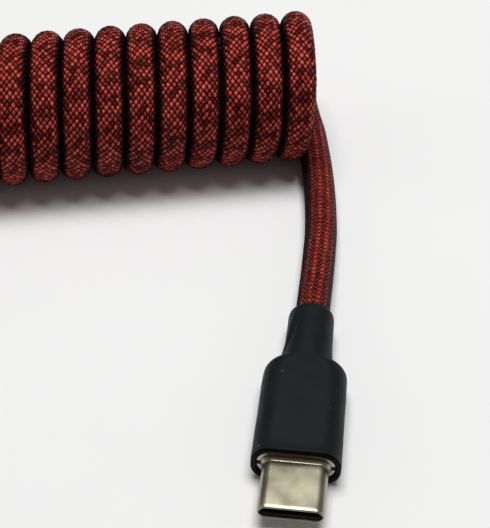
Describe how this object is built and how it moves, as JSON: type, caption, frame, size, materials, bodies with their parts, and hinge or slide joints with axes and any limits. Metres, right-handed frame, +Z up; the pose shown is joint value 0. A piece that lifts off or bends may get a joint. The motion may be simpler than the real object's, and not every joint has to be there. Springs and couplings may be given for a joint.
{
  "type": "coiled charging cable",
  "caption": "Coiled charging cable in a sleeved, helically wound cord, with a small oval reversible plug at one end and a flat rectangular plug at the other.",
  "frame": {"origin": "on the table, under the heat-shrink sleeve of the oval device plug, 17.3 mm behind the mouth of its shell", "axes": "+Y runs back along the device plug from its mouth to its cord, so the plug points along -Y; +Z is up from the table; +X is to the right of someone who looks along +Y. The coil's axis is turned 14.2 degrees from +X towards +Y"},
  "size_m": [0.1257, 0.085, 0.0224],
  "materials": {
    "braided_sleeve": "red woven jacket under an open net of black monofilament",
    "nickel_shell": "warm nickel plate, satin, rounded lip",
    "housing_metal": "bright stamped metal, satin",
    "brass_ferrule": "plain crimped brass",
    "heat_shrink": "black heat-shrink tube, satin",
    "black_plastic": "moulded black",
    "white_plastic": "moulded white",
    "gold_contact": "gold plate",
    "spring_steel": "rolled spring strip",
    "circuit_board": "green solder mask",
    "red_wire": "red insulation",
    "black_wire": "black insulation",
    "green_wire": "green insulation",
    "white_wire": "white insulation"
  },
  "bodies": {
    "coil": {"coil": "braided_sleeve", "host_contact_1": "gold_contact", "host_contact_2": "gold_contact", "host_contact_3": "gold_contact", "host_contact_4": "gold_contact", "host_contact_block": "white_plastic", "host_crimp_ferrule": "brass_ferrule", "host_heat_shrink_sleeve": "heat_shrink", "host_housing_lower": "housing_metal", "host_housing_upper": "housing_metal", "host_lead": "braided_sleeve", "host_shell": "nickel_shell", "host_wire_data_minus": "white_wire", "host_wire_data_plus": "green_wire", "host_wire_ground": "black_wire", "host_wire_power": "red_wire"},
    "device_end": {"contact_carrier": "black_plastic", "crimp_ferrule": "brass_ferrule", "device_lead": "braided_sleeve", "heat_shrink_sleeve": "heat_shrink", "housing_lower": "housing_metal", "housing_upper": "housing_metal", "latch_arm_left": "spring_steel", "latch_arm_right": "spring_steel", "lower_contact_1": "gold_contact", "lower_contact_2": "gold_contact", "lower_contact_3": "gold_contact", "lower_contact_4": "gold_contact", "paddle_board": "circuit_board", "plug_shell": "nickel_shell", "upper_contact_1": "gold_contact", "upper_contact_2": "gold_contact", "upper_contact_3": "gold_contact", "upper_contact_4": "gold_contact", "upper_contact_5": "gold_contact", "upper_contact_6": "gold_contact", "upper_contact_7": "gold_contact", "wire_data_minus": "white_wire", "wire_data_plus": "green_wire", "wire_ground": "black_wire", "wire_power": "red_wire"}
  },
  "joints": [
    {"name": "coil_stretch", "type": "slide", "parent": "coil", "child": "device_end", "axis": [0.9694, 0.2453, 0], "range_m": [0, 0.18], "stiffness_N_per_m": 8, "deforming": ["coil"]}
  ]
}
